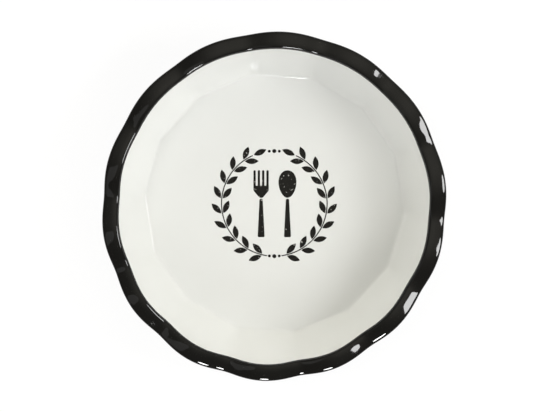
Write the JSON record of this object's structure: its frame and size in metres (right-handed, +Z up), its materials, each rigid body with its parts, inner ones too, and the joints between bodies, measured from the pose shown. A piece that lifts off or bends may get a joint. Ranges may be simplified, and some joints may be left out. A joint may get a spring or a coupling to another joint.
{
  "type": "baking dish",
  "caption": "Round glazed stoneware baking dish with a flat floor, a sloping wall of flat panels and a lip that rises over each panel in a low arch, for baking and serving tarts and pies.",
  "frame": {"origin": "on the table, at the centre of the foot ring", "axes": "+Z up through the open top, +X and +Y level, with +Y towards the top of the reference view"},
  "size_m": [0.2792, 0.2798, 0.052],
  "materials": {
    "stoneware": "bare fired clay, matt",
    "white_glaze": "gloss",
    "black_glaze": "gloss"
  },
  "bodies": {
    "root": {"stoneware_body": "stoneware", "white_liner_glaze": "white_glaze", "black_rim_glaze": "black_glaze", "base_recess_glaze": "black_glaze"}
  },
  "joints": []
}
